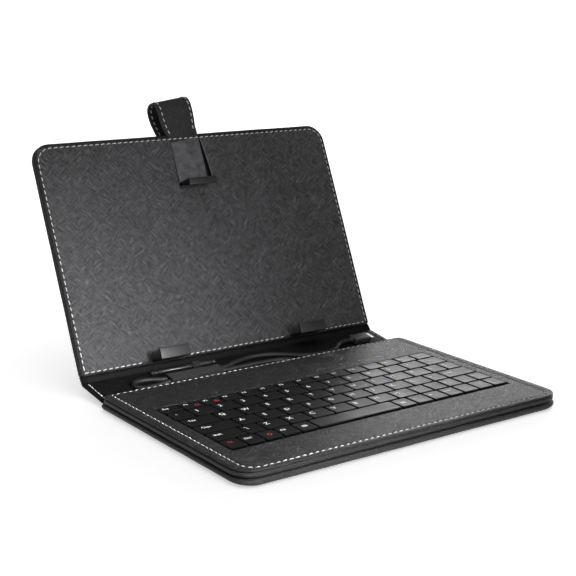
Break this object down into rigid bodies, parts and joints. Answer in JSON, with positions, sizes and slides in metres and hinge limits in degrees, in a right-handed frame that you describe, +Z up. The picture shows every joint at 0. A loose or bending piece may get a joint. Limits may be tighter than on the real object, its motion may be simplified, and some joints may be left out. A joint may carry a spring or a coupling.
{
  "type": "tablet keyboard case",
  "caption": "Folding leather case for a small tablet, standing open, with a built-in wired keyboard, spring-free holding clips, a closing strap and a prop flap.",
  "frame": {"origin": "centre of the base's flat underside", "axes": "+X to the typist's right, +Y from the typist towards the standing lid, +Z up"},
  "size_m": [0.211, 0.2349, 0.1529],
  "materials": {
    "cover_leather": "fine cross-hatched grain, low sheen",
    "fold_leather": "soft, fine grain",
    "lining_leather": "fine cross-hatched grain, low sheen",
    "strap_leather": "fine grain, stitched both sides",
    "board": "plain stiff card",
    "foam": "thin felt",
    "thread": "white twisted thread",
    "clip_plastic": "satin moulded",
    "band_plastic": "smooth flexible strip",
    "patch": "hook and loop",
    "module_plastic": "matte moulded",
    "plate_steel": "plain stamped sheet",
    "membrane_film": "clear film with printed tracks",
    "dome_rubber": "soft silicone",
    "circuit": "solder mask",
    "components": "moulded packages",
    "led_lens": "dark translucent",
    "cable_black": "soft sheath",
    "plug_black": "satin moulded",
    "plug_metal": "gold-toned plating",
    "strap_fuzzy": "short looped pile",
    "loop_elastic": "woven elastic",
    "stylus_metal": "satin black",
    "stylus_tip": "smooth rounded",
    "key_plastic": "matte with printed legends"
  },
  "bodies": {
    "base": {"base_cover_skin": "cover_leather", "base_cover_board": "board", "foam_interlayer": "foam", "keyboard_surround": "cover_leather", "palm_rest_board": "board", "keyboard_tray": "module_plastic", "support_plate": "plate_steel", "contact_membrane": "membrane_film", "dome_sheet": "dome_rubber", "key_grid": "module_plastic", "controller_board": "circuit", "board_components": "components", "led_windows": "led_lens", "cable_gland": "cable_black", "base_stitching": "thread"},
    "spine": {"spine_skin": "cover_leather", "spine_board": "board", "spine_lining": "lining_leather", "usb_cable": "cable_black", "usb_plug_body": "plug_black", "usb_plug_shell": "plug_metal", "cable_strap": "strap_fuzzy", "stylus_loop": "loop_elastic", "fold_leather_front": "fold_leather", "fold_leather_back": "fold_leather"},
    "lid": {"lid_back_skin": "cover_leather", "lid_board": "board", "lid_lining": "lining_leather", "lower_clip_left": "clip_plastic", "lower_clip_right": "clip_plastic", "lid_stitching": "thread", "cover_patch": "patch"},
    "clip_slider": {"upper_clip": "clip_plastic", "clip_band": "band_plastic", "closing_strap": "strap_leather", "strap_patch": "patch"},
    "kickstand": {"kickstand_skin": "cover_leather", "kickstand_board": "board", "kickstand_hinge_strip": "fold_leather"},
    "stylus": {"stylus_barrel": "stylus_metal", "stylus_tip": "stylus_tip"},
    "function_keys": {"function_keys": "key_plastic"},
    "number_keys": {"number_keys": "key_plastic"},
    "backspace_key": {"backspace_key": "key_plastic"},
    "tab_key": {"tab_key": "key_plastic"},
    "top_letter_keys": {"top_letter_keys": "key_plastic"},
    "caps_lock_key": {"caps_lock_key": "key_plastic"},
    "home_letter_keys": {"home_letter_keys": "key_plastic"},
    "enter_key": {"enter_key": "key_plastic"},
    "shift_key": {"shift_key": "key_plastic"},
    "bottom_letter_keys": {"bottom_letter_keys": "key_plastic"},
    "up_arrow_key": {"up_arrow_key": "key_plastic"},
    "fn_key": {"fn_key": "key_plastic"},
    "ctrl_key": {"ctrl_key": "key_plastic"},
    "alt_key": {"alt_key": "key_plastic"},
    "space_key": {"space_key": "key_plastic"},
    "left_arrow_key": {"left_arrow_key": "key_plastic"},
    "down_arrow_key": {"down_arrow_key": "key_plastic"},
    "right_arrow_key": {"right_arrow_key": "key_plastic"},
    "bottom_row_keys": {"bottom_row_keys": "key_plastic"}
  },
  "joints": [
    {"name": "spine_fold", "type": "hinge", "parent": "base", "child": "spine", "pos_m": [0, 0.06875, 0.002], "axis": [1, 0, 0], "range_deg": [-8.4, 81.6], "deforming": ["fold_leather_front", "usb_cable", "cable_strap"]},
    {"name": "lid_fold", "type": "hinge", "parent": "spine", "child": "lid", "pos_m": [0, 0.09575, 0.0067], "axis": [1, 0, 0], "range_deg": [-57.2, 30], "deforming": ["fold_leather_back"]},
    {"name": "kickstand_fold", "type": "hinge", "parent": "lid", "child": "kickstand", "pos_m": [0, 0.14004, 0.10181], "axis": [1, 0, 0], "range_deg": [-29.4, 8], "deforming": ["kickstand_hinge_strip"]},
    {"name": "clip_slide", "type": "slide", "parent": "lid", "child": "clip_slider", "axis": [0, 0.4131, 0.9107], "range_m": [0, 0.016]},
    {"name": "stylus_slide", "type": "slide", "parent": "spine", "child": "stylus", "axis": [1, 0, 0], "range_m": [-0.018, 0.006]},
    {"name": "function_keys_press", "type": "slide", "parent": "base", "child": "function_keys", "axis": [0, 0, -1], "range_m": [0, 0.0012], "stiffness_N_per_m": 500, "springref_m": -0.0008, "deforming": ["dome_sheet"]},
    {"name": "number_keys_press", "type": "slide", "parent": "base", "child": "number_keys", "axis": [0, 0, -1], "range_m": [0, 0.0012], "stiffness_N_per_m": 500, "springref_m": -0.0008, "deforming": ["dome_sheet"]},
    {"name": "backspace_key_press", "type": "slide", "parent": "base", "child": "backspace_key", "axis": [0, 0, -1], "range_m": [0, 0.0012], "stiffness_N_per_m": 300, "springref_m": -0.0008, "deforming": ["dome_sheet"]},
    {"name": "tab_key_press", "type": "slide", "parent": "base", "child": "tab_key", "axis": [0, 0, -1], "range_m": [0, 0.0012], "stiffness_N_per_m": 300, "springref_m": -0.0008, "deforming": ["dome_sheet"]},
    {"name": "top_letter_keys_press", "type": "slide", "parent": "base", "child": "top_letter_keys", "axis": [0, 0, -1], "range_m": [0, 0.0012], "stiffness_N_per_m": 500, "springref_m": -0.0008, "deforming": ["dome_sheet"]},
    {"name": "caps_lock_key_press", "type": "slide", "parent": "base", "child": "caps_lock_key", "axis": [0, 0, -1], "range_m": [0, 0.0012], "stiffness_N_per_m": 300, "springref_m": -0.0008, "deforming": ["dome_sheet"]},
    {"name": "home_letter_keys_press", "type": "slide", "parent": "base", "child": "home_letter_keys", "axis": [0, 0, -1], "range_m": [0, 0.0012], "stiffness_N_per_m": 500, "springref_m": -0.0008, "deforming": ["dome_sheet"]},
    {"name": "enter_key_press", "type": "slide", "parent": "base", "child": "enter_key", "axis": [0, 0, -1], "range_m": [0, 0.0012], "stiffness_N_per_m": 300, "springref_m": -0.0008, "deforming": ["dome_sheet"]},
    {"name": "shift_key_press", "type": "slide", "parent": "base", "child": "shift_key", "axis": [0, 0, -1], "range_m": [0, 0.0012], "stiffness_N_per_m": 300, "springref_m": -0.0008, "deforming": ["dome_sheet"]},
    {"name": "bottom_letter_keys_press", "type": "slide", "parent": "base", "child": "bottom_letter_keys", "axis": [0, 0, -1], "range_m": [0, 0.0012], "stiffness_N_per_m": 500, "springref_m": -0.0008, "deforming": ["dome_sheet"]},
    {"name": "up_arrow_key_press", "type": "slide", "parent": "base", "child": "up_arrow_key", "axis": [0, 0, -1], "range_m": [0, 0.0012], "stiffness_N_per_m": 300, "springref_m": -0.0008, "deforming": ["dome_sheet"]},
    {"name": "fn_key_press", "type": "slide", "parent": "base", "child": "fn_key", "axis": [0, 0, -1], "range_m": [0, 0.0012], "stiffness_N_per_m": 300, "springref_m": -0.0008, "deforming": ["dome_sheet"]},
    {"name": "ctrl_key_press", "type": "slide", "parent": "base", "child": "ctrl_key", "axis": [0, 0, -1], "range_m": [0, 0.0012], "stiffness_N_per_m": 300, "springref_m": -0.0008, "deforming": ["dome_sheet"]},
    {"name": "alt_key_press", "type": "slide", "parent": "base", "child": "alt_key", "axis": [0, 0, -1], "range_m": [0, 0.0012], "stiffness_N_per_m": 300, "springref_m": -0.0008, "deforming": ["dome_sheet"]},
    {"name": "space_key_press", "type": "slide", "parent": "base", "child": "space_key", "axis": [0, 0, -1], "range_m": [0, 0.0012], "stiffness_N_per_m": 300, "springref_m": -0.0008, "deforming": ["dome_sheet"]},
    {"name": "left_arrow_key_press", "type": "slide", "parent": "base", "child": "left_arrow_key", "axis": [0, 0, -1], "range_m": [0, 0.0012], "stiffness_N_per_m": 300, "springref_m": -0.0008, "deforming": ["dome_sheet"]},
    {"name": "down_arrow_key_press", "type": "slide", "parent": "base", "child": "down_arrow_key", "axis": [0, 0, -1], "range_m": [0, 0.0012], "stiffness_N_per_m": 300, "springref_m": -0.0008, "deforming": ["dome_sheet"]},
    {"name": "right_arrow_key_press", "type": "slide", "parent": "base", "child": "right_arrow_key", "axis": [0, 0, -1], "range_m": [0, 0.0012], "stiffness_N_per_m": 300, "springref_m": -0.0008, "deforming": ["dome_sheet"]},
    {"name": "bottom_row_keys_press", "type": "slide", "parent": "base", "child": "bottom_row_keys", "axis": [0, 0, -1], "range_m": [0, 0.0012], "stiffness_N_per_m": 500, "springref_m": -0.0008, "deforming": ["dome_sheet"]}
  ]
}
